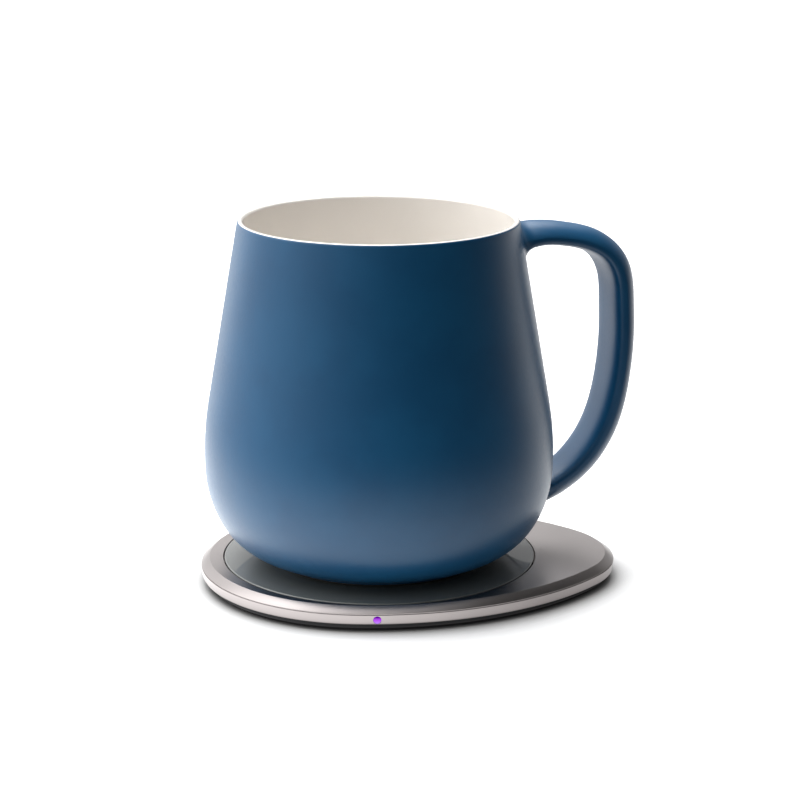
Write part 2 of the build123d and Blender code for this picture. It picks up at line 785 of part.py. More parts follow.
with BuildPart() as status_led:
    with BuildSketch(pad_level(plate_top + ribbon_height)):
        with Locations(Location((led_place[0], led_place[1], 0), (0, 0, indicator_turn))):
            Rectangle(led_deep, led_wide)
    extrude(amount=led_height)

with BuildPart() as base_plate:
    with BuildSketch(pad_level(sole_height)):
        pad_outline(plate_inset)
    extrude(amount=plate_height)
    chamfer(base_plate.edges().group_by(Axis.Z)[0], plate_edge)
    with BuildSketch(pad_level(sole_height)):
        with screw_places():
            Circle(screw_hole_radius)
    extrude(amount=plate_height, mode=Mode.SUBTRACT)
    with BuildSketch(pad_level(sole_height)):
        with screw_places():
            Circle(screw_head_radius + thread_gap)
    extrude(amount=screw_head_height, taper=45, mode=Mode.SUBTRACT)
    with BuildSketch(pad_level(wall_middle_z - socket_height / 2)):
        with Locations((socket_front_x + fit_gap, 0)):
            pocket_long = socket_depth + 2 * fit_gap
            Rectangle(pocket_long, socket_wide + 2 * fit_gap, align=(Align.MAX, Align.CENTER))
    extrude(amount=socket_height, mode=Mode.SUBTRACT)

with BuildPart() as plate_screws:
    with BuildSketch(pad_level(sole_height)):
        with screw_places():
            Circle(screw_head_radius)
    extrude(amount=screw_head_height, taper=45)
    with BuildSketch(pad_level(sole_height)):
        with screw_places():
            Circle(screw_radius)
    extrude(amount=screw_length)

with BuildPart() as rubber_sole:
    with BuildSketch(pad_level(0)):
        pad_outline(sole_inset)
    extrude(amount=sole_height)
    with BuildSketch(pad_level(0)):
        pad_outline(sole_inset + sole_groove_inset)
        pad_outline(sole_inset + sole_groove_inset + sole_groove_wide, Mode.SUBTRACT)
    extrude(amount=sole_groove_depth, mode=Mode.SUBTRACT)

pieces = {
    "mug_body": mug_body,
    "foot_ring": foot_ring,
    "base_cover": base_cover,
    "cover_seal": cover_seal,
    "receiver_coil": receiver_coil,
    "receiver_ferrite": receiver_ferrite,
    "mug_coil_leads": mug_coil_leads,
    "board_carrier": board_carrier,
    "mug_board": mug_board,
    "rectifier_chip": rectifier_chip,
    "mug_control_chip": mug_control_chip,
    "mug_capacitors": mug_capacitors,
    "heater_track": heater_track,
    "heater_leads": heater_leads,
    "insulation_pad": insulation_pad,
    "thermistor": thermistor,
    "pad_shell": pad_shell,
    "glass_disc": glass_disc,
    "glass_adhesive": glass_adhesive,
    "coil_tray": coil_tray,
    "transmitter_ferrite": transmitter_ferrite,
    "transmitter_coil": transmitter_coil,
    "surface_sensor": surface_sensor,
    "pad_coil_leads": pad_coil_leads,
    "board_film": board_film,
    "pad_board": pad_board,
    "driver_chip": driver_chip,
    "pad_control_chip": pad_control_chip,
    "pad_inductor": pad_inductor,
    "pad_capacitors": pad_capacitors,
    "usb_c_socket": usb_c_socket,
    "light_pipe": light_pipe,
    "led_ribbon": led_ribbon,
    "status_led": status_led,
    "base_plate": base_plate,
    "plate_screws": plate_screws,
    "rubber_sole": rubber_sole,
}
for name, piece in pieces.items():
    piece.part.label = name
    export_step(piece.part, f"parts/{name}.step")
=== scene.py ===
import math

import bmesh
import bpy
import numpy as np
from mathutils import Matrix, Vector


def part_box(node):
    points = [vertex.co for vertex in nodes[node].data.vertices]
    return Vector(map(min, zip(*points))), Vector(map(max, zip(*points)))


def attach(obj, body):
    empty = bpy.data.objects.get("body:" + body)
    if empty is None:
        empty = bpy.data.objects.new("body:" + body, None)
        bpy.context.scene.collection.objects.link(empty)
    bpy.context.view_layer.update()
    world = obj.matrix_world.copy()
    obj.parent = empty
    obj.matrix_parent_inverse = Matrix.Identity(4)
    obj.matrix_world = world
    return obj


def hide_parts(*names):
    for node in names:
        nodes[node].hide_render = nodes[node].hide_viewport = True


# Self heating mug on its wireless pad. Metres, z up, mug's axis at the origin, handle towards +X
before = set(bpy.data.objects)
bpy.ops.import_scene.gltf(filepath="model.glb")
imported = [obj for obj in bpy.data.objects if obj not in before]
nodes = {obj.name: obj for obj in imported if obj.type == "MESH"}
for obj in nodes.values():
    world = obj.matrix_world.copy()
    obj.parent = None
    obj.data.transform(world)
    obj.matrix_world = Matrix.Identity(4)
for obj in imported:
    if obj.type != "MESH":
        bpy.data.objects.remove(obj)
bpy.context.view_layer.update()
mm = 0.001
tiny = 1e-7
print("frame loaded,", len(nodes), "nodes")

# The photo's camera, as seen from the glass top at the mug's axis
camera = {
    "turn": -20.0,        # degrees, from looking along +Y
    "pitch": 14.63,       # degrees under the horizon
    "aside": 5.77 * mm,   # to the right of the mug's axis
    "back": 623.7 * mm,
    "up": 206.7 * mm,
    "lens": 105.6,
}


def lookDirection(turn):
    angle = math.radians(turn)
    return Vector((-math.sin(angle), math.cos(angle), 0))


def makeCamera():
    ahead = lookDirection(camera["turn"])
    right = Vector((ahead.y, -ahead.x, 0))
    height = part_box("glass_disc")[1].z + camera["up"]
    data = bpy.data.cameras.new("photoCamera")
    data.lens = camera["lens"]
    data.clip_start = 0.01
    data.clip_end = 50
    item = bpy.data.objects.new("photoCamera", data)
    item.location = right * camera["aside"] - ahead * camera["back"] + Vector((0, 0, height))
    item.rotation_euler = (math.radians(90 - camera["pitch"]), 0, math.radians(camera["turn"]))
    bpy.context.scene.collection.objects.link(item)
    bpy.context.scene.camera = item


makeCamera()
print("camera placed")


# Shader wiring: a Wire is a socket that adds and scales like a number
class Wire:
    def __init__(self, finish, socket):
        self.finish = finish
        self.socket = socket

    def math(self, operation, *values):
        return self.finish.node("ShaderNodeMath", {"operation": operation}, values)

    def __add__(self, other):
        return self.math("ADD", self, other)

    def __radd__(self, other):
        return self.math("ADD", other, self)

    def __sub__(self, other):
        return self.math("SUBTRACT", self, other)

    def __rsub__(self, other):
        return self.math("SUBTRACT", other, self)

    def __mul__(self, other):
        return self.math("MULTIPLY", self, other)

    def __truediv__(self, other):
        return self.math("DIVIDE", self, other)

    def __pow__(self, other):
        return self.math("POWER", self, other)

    def sine(self):
        return self.math("SINE", self)

    def between(self, low, high):
        # 0 at low, 1 at high, smooth on the way
        settings = {"interpolation_type": "SMOOTHSTEP"}
        places = {"Value": self, "From Min": low, "From Max": high}
        return self.finish.node("ShaderNodeMapRange", settings, places)


class Finish:
    # a new material of that name, or else the world's own tree
    def __init__(self, name, tree=None):
        self.material = None
        if tree is None:
            self.material = bpy.data.materials.new(name)
            self.material.use_nodes = True
            tree = self.material.node_tree
        self.tree = tree
        self.tree.nodes.clear()

    def node(self, kind, settings=None, inputs=None, output=0):
        made = self.tree.nodes.new(kind)
        for key, value in (settings or {}).items():
            if key == "stops":
                self.setStops(made.color_ramp, value)
            else:
                setattr(made, key, value)
        if not isinstance(inputs, dict):
            inputs = dict(enumerate(inputs or ()))
        for key, value in inputs.items():
            if isinstance(value, Wire):
                self.tree.links.new(value.socket, made.inputs[key])
            else:
                made.inputs[key].default_value = value
        return Wire(self, made.outputs[output]) if made.outputs else None

    def setStops(self, ramp, stops):
        while len(ramp.elements) < len(stops):
            ramp.elements.new(1)
        for element, (place, color) in zip(ramp.elements, stops):
            element.position = place
            element.color = color

    def place(self):
        return self.node("ShaderNodeTexCoord", output=3)

    def axes(self, vector):
        parts = self.node("ShaderNodeSeparateXYZ", inputs=[vector])
        return [Wire(self, socket) for socket in parts.socket.node.outputs]

    def noise(self, scale, detail=2.0, roughness=0.5):
        inputs = {"Vector": self.place(), "Scale": scale, "Detail": detail, "Roughness": roughness}
        return self.node("ShaderNodeTexNoise", inputs=inputs)

    def mix(self, share, first, second):
        # colours have the node's sockets 6 and 7, and its third output
        return self.node("ShaderNodeMix", {"data_type": "RGBA"}, {0: share, 6: first, 7: second}, output=2)

    def bump(self, height, distance):
        return self.node("ShaderNodeBump", inputs={"Height": height, "Distance": distance})

    def cosine(self, direction, toward):
        settings = {"operation": "DOT_PRODUCT"}
        return self.node("ShaderNodeVectorMath", settings, [direction, toward], output=1)

    def surface(self, **values):
        # Principled shader to the output. baseColor feeds Base Color, coatWeight Coat Weight, and so on
        inputs = {}
        for key, value in values.items():
            words = "".join(" " + letter if letter.isupper() else letter for letter in key)
            inputs[words.title().replace("Ior", "IOR")] = value
        return self.show(self.node("ShaderNodeBsdfPrincipled", inputs=inputs))

    def show(self, shader):
        self.node("ShaderNodeOutputMaterial" if self.material else "ShaderNodeOutputWorld", inputs=[shader])
        return self.material

    def rays(self):
        # 1 for rays straight from the camera, and 1 for mirrored ones
        path = self.node("ShaderNodeLightPath").socket.node.outputs
        return Wire(self, path["Is Camera Ray"]), Wire(self, path["Is Glossy Ray"])


def tint(red, green, blue):
    return (red, green, blue, 1.0)


# Cup glaze: satin blue outside, gloss ivory inside and over the lip
glaze = {
    "blue": tint(0.0075, 0.096, 0.222),
    "deepBlue": tint(0.006, 0.082, 0.196),
    "ivory": tint(0.925, 0.89, 0.845),
    "shadedIvory": tint(0.91, 0.875, 0.83),
    "clay": tint(0.66, 0.62, 0.56),
    "shadedClay": tint(0.62, 0.58, 0.52),
    "blueRoughness": 0.36,
    "ivoryRoughness": 0.16,
    "grain": 0.012 * mm,
    "flow": 0.02 * mm,
    "clayGrain": 0.03 * mm,
}


def outsideGlaze():
    finish = Finish("blue glaze")
    cloud = finish.noise(60, 4).between(0.3, 0.7)
    speck = finish.noise(2600, 2)
    rough = glaze["blueRoughness"] + (finish.noise(900, 3) - 0.5) * 0.10
    height = finish.noise(1400, 3, 0.6) + speck * 0.5
    return finish.surface(
        baseColor=finish.mix(cloud, glaze["blue"], glaze["deepBlue"]),
        roughness=rough,
        ior=1.5,
        normal=finish.bump(height, glaze["grain"]),
    )


def insideGlaze():
    finish = Finish("ivory glaze")
    cloud = finish.noise(45, 3).between(0.3, 0.7)
    return finish.surface(
        baseColor=finish.mix(cloud, glaze["ivory"], glaze["shadedIvory"]),
        roughness=glaze["ivoryRoughness"] + finish.noise(300) * 0.06,
        ior=1.5,
        coatWeight=0.3,
        coatRoughness=0.08,
        normal=finish.bump(finish.noise(140), glaze["flow"]),
    )


def footClay():
    finish = Finish("bare fired clay")
    grain = finish.noise(1500, 4, 0.7)
    return finish.surface(
        baseColor=finish.mix(grain, glaze["clay"], glaze["shadedClay"]),
        roughness=0.75 + grain * 0.15,
        normal=finish.bump(grain, glaze["clayGrain"]),
    )


# Pad metal: bead blasted aluminium, anodised warm grey
metal = {
    "color": tint(0.318, 0.292, 0.288),
    "worn": tint(0.35, 0.322, 0.317),
    "roughness": 0.31,
    "grain": 0.010 * mm,
}


def padMetal():
    finish = Finish("anodised aluminium")
    grain = finish.noise(3800, 2, 0.6)
    cloud = finish.noise(70, 3).between(0.25, 0.75)
    return finish.surface(
        baseColor=finish.mix(cloud * 0.5, metal["color"], metal["worn"]),
        metallic=1.0,
        roughness=metal["roughness"] + (grain - 0.5) * 0.12 + cloud * 0.02,
        normal=finish.bump(grain, metal["grain"]),
    )


# Pad glass: dark backed, polished
glass = {
    "color": tint(0.088, 0.094, 0.084),
    "cloud": tint(0.103, 0.110, 0.098),
    "haze": 0.60,          # roughness of the backing, under the polished face
    "backingIor": 2.1,
    "roughness": 0.05,
}


def padGlass():
    finish = Finish("dark backed glass")
    haze = finish.noise(35, 3).between(0.35, 0.75)
    return finish.surface(
        baseColor=finish.mix(haze, glass["color"], glass["cloud"]),
        roughness=glass["haze"] + haze * 0.05,
        ior=glass["backingIor"],
        coatWeight=1.0,
        coatRoughness=glass["roughness"],
        coatIor=1.5,
    )


# Indicator: lit violet lens, darker at its top and pale at its lower edge
lens = {
    "body": tint(0.05, 0.0, 0.12),
    "top": tint(0.10, 0.0, 0.30),
    "middle": tint(0.46, 0.0, 0.90),
    "low": tint(0.50, 0.22, 0.95),
    "glow": 0.9,
}


def indicatorLens(middle, radius):
    finish = Finish("lit violet lens")
    z = finish.axes(finish.place())[2]
    up = (z - middle.z) / radius
    settings = {"stops": [(0.1, lens["low"]), (0.5, lens["middle"]), (0.85, lens["top"])]}
    color = finish.node("ShaderNodeValToRGB", settings, [up * 0.5 + 0.5])
    return finish.surface(
        baseColor=lens["body"],
        roughness=0.12,
        ior=1.49,
        emissionColor=color,
        emissionStrength=lens["glow"],
    )


# Plainer stuffs of the pieces that hardly show. Grain sizes are noise scales, per metre
def moulded(name, color, roughness, grain=2200, depth=0.02 * mm, metallic=0.0, ior=1.5):
    finish = Finish(name)
    spots = finish.noise(grain, 3, 0.6)
    paler = tint(*[min(1, channel * 1.25 + 0.004) for channel in color[:3]])
    return finish.surface(
        baseColor=finish.mix(spots, color, paler),
        metallic=metallic,
        roughness=roughness + (spots - 0.5) * 0.12,
        ior=ior,
        normal=finish.bump(spots, depth),
    )


def boardMask():
    # green solder mask with paler copper tracks under it
    finish = Finish("circuit board")
    x, y = finish.axes(finish.place())[:2]
    run = (x * 2600).sine() * (y * 2200 + finish.noise(180) * 9).sine()
    track = run.between(0.55, 0.62)
    color = finish.mix(track, tint(0.01, 0.10, 0.045), tint(0.02, 0.22, 0.09))
    return finish.surface(baseColor=color, roughness=0.32, normal=finish.bump(track, 0.03 * mm))


def windingWire():
    # turns of fine enamelled wire side by side
    finish = Finish("enamelled winding")
    x, y = finish.axes(finish.place())[:2]
    reach = (x * x + y * y) ** 0.5
    turns = (reach * 12000).sine() * 0.5 + 0.5
    color = finish.mix(turns, tint(0.34, 0.13, 0.05), tint(0.78, 0.40, 0.20))
    return finish.surface(
        baseColor=color,
        metallic=1.0,
        roughness=0.28 + turns * 0.1,
        normal=finish.bump(turns, 0.08 * mm),
    )


stuff = {
    "silicone": moulded("silicone", tint(0.035, 0.036, 0.038), 0.62, 1600),
    "blackPlastic": moulded("black plastic", tint(0.012, 0.012, 0.013), 0.48),
    "plate": moulded("matt black plate", tint(0.034, 0.034, 0.036), 0.7, 2600, ior=1.3),
    "softBlack": moulded("black rubber", tint(0.014, 0.014, 0.015), 0.78, 1200, 0.04 * mm),
    "ferrite": moulded("sintered ferrite", tint(0.055, 0.056, 0.06), 0.55, 3000, 0.03 * mm),
    "chip": moulded("moulded package", tint(0.014, 0.014, 0.015), 0.52, 3500),
    "capacitor": moulded("fired capacitor", tint(0.36, 0.24, 0.14), 0.45, 2500),
    "heaterPrint": moulded("printed heater", tint(0.42, 0.39, 0.36), 0.42, 2800, metallic=0.8),
    "foam": moulded("insulating fibre", tint(0.72, 0.69, 0.64), 0.92, 700, 0.25 * mm),
    "bead": moulded("epoxy bead", tint(0.03, 0.03, 0.035), 0.22, 900),
    "tape": moulded("bonding tape", tint(0.02, 0.02, 0.02), 0.85, 1500),
    "film": moulded("amber film", tint(0.42, 0.17, 0.02), 0.2, 600, 0.01 * mm),
    "steel": moulded("plated steel", tint(0.62, 0.61, 0.60), 0.26, 1800, 0.01 * mm, 1.0),
    "lamp": moulded("lamp package", tint(0.75, 0.75, 0.70), 0.35, 1500),
    "board": boardMask(),
    "winding": windingWire(),
}
nodeStuff = {
    "silicone": ["foot_ring", "cover_seal"],
    "softBlack": ["rubber_sole"],
    "blackPlastic": ["base_cover", "board_carrier", "coil_tray"],
    "plate": ["base_plate"],
    "winding": ["receiver_coil", "transmitter_coil", "mug_coil_leads", "pad_coil_leads", "heater_leads"],
    "ferrite": ["receiver_ferrite", "transmitter_ferrite"],
    "board": ["mug_board", "pad_board"],
    "chip": ["rectifier_chip", "mug_control_chip", "driver_chip", "pad_control_chip", "pad_inductor"],
    "capacitor": ["mug_capacitors", "pad_capacitors"],
    "heaterPrint": ["heater_track"],
    "foam": ["insulation_pad"],
    "bead": ["thermistor", "surface_sensor"],
    "tape": ["glass_adhesive"],
    "film": ["board_film", "led_ribbon"],
    "steel": ["usb_c_socket", "plate_screws"],
    "lamp": ["status_led"],
}
for kind, names in nodeStuff.items():
    for name in names:
        nodes[name].data.materials.clear()
        nodes[name].data.materials.append(stuff[kind])
print("finishes of the carried-over nodes made")


# Mesh helpers
def makeObject(name, verts, faces, materials=()):
    mesh = bpy.data.meshes.new(name)
    mesh.from_pydata(verts, [], faces)
    for material in materials:
        mesh.materials.append(material)
    tidyNormals(mesh)
    item = bpy.data.objects.new(name, mesh)
    bpy.context.scene.collection.objects.link(item)
    return item


def tidyNormals(mesh):
    grid = bmesh.new()
    grid.from_mesh(mesh)
    bmesh.ops.recalc_face_normals(grid, faces=grid.faces)
    grid.to_mesh(mesh)
    grid.free()
    mesh.update()


def smooth(item, angle=30):
    item.data.shade_smooth()
    item.data.set_sharp_from_angle(angle=math.radians(angle))


def joinUp(item, cutter, operation):
    # exact boolean with the other object, which is then removed
    step = item.modifiers.new("join", "BOOLEAN")
    step.operation = operation
    step.object = cutter
    step.solver = "EXACT"
    shapes = bpy.context.evaluated_depsgraph_get()
    old = item.data
    item.data = bpy.data.meshes.new_from_object(item.evaluated_get(shapes))
    item.modifiers.remove(step)
    bpy.data.meshes.remove(old)
    bpy.data.objects.remove(cutter)


def arc(center, radius, start, end, steps):
    # points on an arc, angles in degrees from the first axis
    run = []
    for step in range(steps + 1):
        angle = math.radians(start + (end - start) * step / steps)
        run.append((center[0] + radius * math.cos(angle), center[1] + radius * math.sin(angle)))
    return run


def roundCorners(points, radii, steps=5):
    # an open run of points with its inner corners rounded, one radius for each
    run = [points[0]]
    for before, corner, after, radius in zip(points, points[1:], points[2:], radii):
        a = Vector(before) - Vector(corner)
        b = Vector(after) - Vector(corner)
        if radius == 0:
            run.append(corner)
            continue
        half = a.angle(b) / 2
        back = radius / math.tan(half)
        middle = Vector(corner) + (a.normalized() + b.normalized()).normalized() * radius / math.sin(half)
        start = Vector(corner) + a.normalized() * back - middle
        end = Vector(corner) + b.normalized() * back - middle
        for step in range(steps + 1):
            run.append(tuple(middle + start.slerp(end, step / steps) * radius))
    run.append(points[-1])
    return run


def turned(name, profile, segments, materials=()):
    # profile of (radius, z) from axis to axis, turned round z. Also gives the band of each face
    verts, rings = [], []
    for radius, z in profile:
        if radius < tiny:
            rings.append([len(verts)])
            verts.append((0, 0, z))
            continue
        rings.append(list(range(len(verts), len(verts) + segments)))
        for step in range(segments):
            angle = 2 * math.pi * step / segments
            verts.append((radius * math.cos(angle), radius * math.sin(angle), z))
    faces, bands = [], []
    for band, (low, high) in enumerate(zip(rings, rings[1:])):
        for step in range(segments):
            after = (step + 1) % segments
            quad = [low[step % len(low)], low[after % len(low)]]
            quad += [high[after % len(high)], high[step % len(high)]]
            faces.append(list(dict.fromkeys(quad)))
            bands.append(band)
    item = makeObject(name, verts, faces, materials)
    return item, bands


# Cup and handle, with the CAD's own sizes
cup = {
    "wallLean": 9.8,
    "bellyTurn": 3.0,
    "hipTurn": 29.8,
    "heelTurn": 74.6,
    "bellyArc": 86.0 * mm,
    "hipArc": 31.3 * mm,
    "heelArc": 19.7 * mm,
    "footInset": 18.0 * mm,
    "footHeight": 0.7 * mm,
    "footWall": 2.9 * mm,
    "footRound": 0.25 * mm,
    "wall": 3.4 * mm,
    "floorWall": 3.4 * mm,
    "lipWall": 1.6 * mm,
    "lipRound": 0.78 * mm,
    "wellCorner": 9.0 * mm,
    "wellStep": 0.2 * mm,      # least rise from the well's corner to the wall's next place
    "sealLedge": 1.7 * mm,
    "heelRound": 0.1 * mm,
    "segments": 288,
    "heelSteps": 24,
    "bellySteps": 20,
    "cornerSteps": 18,
    "wallSteps": 4,
    "lipSteps": 8,
    "clayBands": 12,           # from the cavity to the middle of the foot's outer rounding
}
handle = {
    "wide": 15.6 * mm,
    "thick": 9.0 * mm,
    "crease": 1.4,           # of the outer half: 1 is an ellipse, more draws its two ends to an edge
    "flatness": 0.56,        # of the half towards the fingers: 1 is an ellipse, less is squarer
    "inside": 0.67,          # share of the thickness that the fingers' half has of the outer one's
    "least": 1e-6,           # keeps the section's powers off zero
    "topDrop": 6.9 * mm,
    "lowHeight": 12.7 * mm,
    "overhang": 23.2 * mm,
    "topBlend": 4.2 * mm,
    "lowBlend": 4.0 * mm,
    "blendEnd": 0.005,       # share of a blend at which it stops growing, inside the wall
    "lipMargin": 0.8 * mm,   # the root stays this far under the lip
    "rings": 320,
    "sides": 96,
    "plugSides": 96,
    # share of the way out from the wall, share of the way up, from root to root
    "path": [
        (-0.115, 0.973),
        (0.028, 0.986),
        (0.188, 0.996),
        (0.458, 0.986),
        (0.647, 0.965),
        (0.840, 0.916),
        (0.948, 0.850),
        (0.996, 0.725),
        (1.005, 0.609),
        (0.959, 0.423),
        (0.818, 0.258),
        (0.536, 0.120),
        (0.283, 0.048),
        (-0.013, -0.005),
        (-0.263, -0.040),
    ],
    # share of the way along, of the width and of the thickness
    "section": [
        (0.00, 0.98, 0.90),
        (0.05, 0.97, 0.92),
        (0.10, 0.96, 0.85),
        (0.16, 0.96, 0.84),
        (0.24, 0.96, 0.92),
        (0.31, 0.97, 1.02),
        (0.38, 0.98, 1.02),
        (0.46, 1.00, 1.02),
        (0.55, 1.00, 1.01),
        (0.65, 0.98, 1.04),
        (0.75, 0.95, 1.05),
        (0.85, 0.92, 1.00),
        (0.93, 0.91, 0.93),
        (1.00, 0.93, 0.90),
    ],
}


def polar(center, radius, angle):
    turn = math.radians(angle)
    return (center[0] + radius * math.cos(turn), center[1] + radius * math.sin(turn))


def cupCenters(radius, level):
    belly = (radius - cup["bellyArc"], level)
    hip = polar(belly, cup["bellyArc"] - cup["hipArc"], -cup["bellyTurn"])
    heel = polar(hip, cup["hipArc"] - cup["heelArc"], -cup["hipTurn"])
    return belly, hip, heel, polar(heel, cup["heelArc"], -cup["heelTurn"])


low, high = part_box("mug_body")
footZ, lipZ = low.z, high.z
bellyRadius = (high.y - low.y) / 2
footRadius = bellyRadius - cup["footInset"]
rebateRadius = footRadius - cup["footWall"]
cavityRadius = rebateRadius - cup["sealLedge"]
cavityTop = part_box("heater_track")[1].z
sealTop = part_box("cover_seal")[1].z
wellFloor = cavityTop + cup["floorWall"]
heelEnd = cupCenters(bellyRadius, 0)[3]
shoulderZ = footZ + cup["footHeight"]
heelRise = (heelEnd[0] - footRadius) / math.tan(math.radians(cup["heelTurn"]))
belly, hip, heel, heelEnd = cupCenters(bellyRadius, shoulderZ + heelRise - heelEnd[1])
wallStart = polar(belly, cup["bellyArc"], cup["wallLean"])
hipStart = polar(belly, cup["bellyArc"], -cup["bellyTurn"])
wallSlope = math.tan(math.radians(cup["wallLean"]))


def wallRadius(z):
    if z > wallStart[1]:
        return wallStart[0] - (z - wallStart[1]) * wallSlope
    center, radius = (belly, cup["bellyArc"]) if z > hipStart[1] else (hip, cup["hipArc"])
    return center[0] + math.sqrt(radius**2 - (z - center[1]) ** 2)


def cupProfile():
    lipRadius = wallRadius(lipZ)
    innerLip = (lipRadius - cup["lipWall"], lipZ)
    wellArc = cup["bellyArc"] - cup["wall"]
    reach = math.hypot(innerLip[0] - belly[0], innerLip[1] - belly[1])
    lipAngle = math.degrees(math.atan2(innerLip[1] - belly[1], innerLip[0] - belly[0]))
    wellLean = lipAngle - math.degrees(math.acos(wellArc / reach))
    under = [
        (0, cavityTop),
        (cavityRadius, cavityTop),
        (cavityRadius, sealTop),
        (rebateRadius, sealTop),
        (rebateRadius, footZ),
        (footRadius, footZ),
        (footRadius, shoulderZ),
        heelEnd,
    ]
    under = roundCorners(under, [0, 0, 0, cup["footRound"], cup["footRound"], cup["heelRound"]])
    outside = arc(heel, cup["heelArc"], -cup["heelTurn"], -cup["hipTurn"], cup["heelSteps"])
    outside += arc(hip, cup["hipArc"], -cup["hipTurn"], -cup["bellyTurn"], cup["heelSteps"])[1:]
    outside += arc(belly, cup["bellyArc"], -cup["bellyTurn"], cup["wallLean"], cup["bellySteps"])[1:]
    lip = [wallStart, (lipRadius, lipZ), innerLip, polar(belly, wellArc, wellLean)]
    lip = roundCorners(lip, [cup["lipRound"], cup["lipRound"]], cup["lipSteps"])
    straight = []
    for step in range(1, cup["wallSteps"]):
        straight.append(tuple(Vector(lip[0]).lerp(Vector(lip[1]), step / cup["wallSteps"])))
    hipWell = cup["hipArc"] - cup["wall"]
    well = arc(belly, wellArc, wellLean, -cup["bellyTurn"], cup["bellySteps"])
    well += arc(hip, hipWell, -cup["bellyTurn"], -cup["hipTurn"], cup["bellySteps"])[1:]
    corner = cup["wellCorner"]
    rise = wellFloor + corner - hip[1]
    middle = (hip[0] + math.sqrt((hipWell - corner) ** 2 - rise**2), wellFloor + corner)
    turn = math.degrees(math.atan2(middle[1] - hip[1], middle[0] - hip[0]))
    cornerTop = polar(middle, corner, turn)[1]
    well = [point for point in well if point[1] > cornerTop + cup["wellStep"]]
    well += arc(middle, corner, turn, -90, cup["cornerSteps"])
    return under[:-1], outside, straight + lip[1:-1], well + [(0, wellFloor)]


def smoothLine(points):
    # natural cubic through the points by chord length, as the CAD's own line
    points = np.array(points)
    chord = np.linalg.norm(np.diff(points, axis=0), axis=1)
    place = np.concatenate([[0], np.cumsum(chord)])
    count = len(points)
    grid = np.eye(count)
    right = np.zeros_like(points)
    for n in range(1, count - 1):
        grid[n, n - 1 : n + 2] = chord[n - 1], 2 * (chord[n - 1] + chord[n]), chord[n]
        right[n] = 6 * ((points[n + 1] - points[n]) / chord[n] - (points[n] - points[n - 1]) / chord[n - 1])
    bend = np.linalg.solve(grid, right)

    def at(share):
        s = share * place[-1]
        n = min(max(int(np.searchsorted(place, s)) - 1, 0), count - 2)
        h = chord[n]
        a, b = place[n + 1] - s, s - place[n]
        value = bend[n] * a**3 / (6 * h) + bend[n + 1] * b**3 / (6 * h)
        value += (points[n] / h - bend[n] * h / 6) * a + (points[n + 1] / h - bend[n + 1] * h / 6) * b
        slope = -bend[n] * a**2 / (2 * h) + bend[n + 1] * b**2 / (2 * h)
        slope += (points[n + 1] - points[n]) / h - (bend[n + 1] - bend[n]) * h / 6
        return value, slope / np.linalg.norm(slope)

    return at


def easeTable(table, share, column):
    # smooth value of a table's column at a share of the way
    for first, second in zip(table, table[1:]):
        if share <= second[0]:
            t = (share - first[0]) / (second[0] - first[0])
            t = t * t * (3 - 2 * t) * 0.5 + t * 0.5
            return first[column] + (second[column] - first[column]) * t
    return table[-1][column]


def handleSection(angle, wide, thick):
    # a place across and outwards, and the way it faces: crowned outside, flatter towards the fingers
    across, out = math.cos(angle), math.sin(angle)
    acrossPower, outPower = 1, handle["crease"]
    if out < 0:
        acrossPower = outPower = handle["flatness"]
        thick *= handle["inside"]
    acrossSize, outSize = abs(across) + handle["least"], abs(out) + handle["least"]
    place = (
        math.copysign(acrossSize**acrossPower, across) * wide,
        math.copysign(outSize**outPower, out) * thick,
    )
    facing = (
        outPower * outSize ** (outPower - 1) * across * thick,
        acrossPower * acrossSize ** (acrossPower - 1) * out * wide,
    )
    return place, facing


def makeHandle():
    lowZ = footZ + handle["lowHeight"]
    topZ = lipZ - handle["topDrop"]
    reach = bellyRadius + handle["overhang"]
    path = []
    for across, up in handle["path"]:
        z = lowZ + up * (topZ - lowZ)
        path.append((wallRadius(z) + across * (reach - wallRadius(z)), z))
    line = smoothLine(path)
    sides = handle["sides"]
    verts, faces = [], []
    middleZ = (lowZ + topZ) / 2
    for ring in range(handle["rings"]):
        share = ring / (handle["rings"] - 1)
        (x, z), (alongX, alongZ) = line(share)
        wide = handle["wide"] / 2 * easeTable(handle["section"], share, 1)
        thick = handle["thick"] / 2 * easeTable(handle["section"], share, 2)
        blend = handle["topBlend"] if z > middleZ else handle["lowBlend"]
        for side in range(sides):
            angle = 2 * math.pi * side / sides
            (across, out), (acrossWay, outWay) = handleSection(angle, wide, thick)
            point = Vector((x - alongZ * out, across, z + alongX * out))
            away = Vector((-alongZ * outWay, acrossWay, alongX * outWay)).normalized()
            verts.append(flare(point, away, blend))
    for ring in range(handle["rings"] - 1):
        for side in range(sides):
            after = (side + 1) % sides
            a, b = ring * sides, (ring + 1) * sides
            faces.append((a + side, a + after, b + after, b + side))
    faces.append(tuple(range(sides)))
    faces.append(tuple(range(len(verts) - sides, len(verts))))
    return makeObject("handle", verts, faces)


def flare(point, away, blend):
    # swells the handle where it nears the cup, so that it runs into the wall on a hollow curve.
    # A moved place keeps its distance from the wall
    z = min(point.z, lipZ)
    lean = math.cos(math.radians(cup["wallLean"]))
    gap = (math.hypot(point.x, point.y) - wallRadius(z)) * lean
    if gap >= blend:
        return point
    depth = max(gap, handle["blendEnd"] * blend)
    swell = blend - math.sqrt(blend**2 - (blend - depth) ** 2)
    moved = point + away * swell
    rise = moved.z - point.z
    if rise > 0:
        room = lipZ - handle["lipMargin"] - point.z
        moved.z = point.z + rise * room / (rise + room)
    stretch = (wallRadius(moved.z) + gap / lean) / math.hypot(moved.x, moved.y)
    return Vector((moved.x * stretch, moved.y * stretch, moved.z))


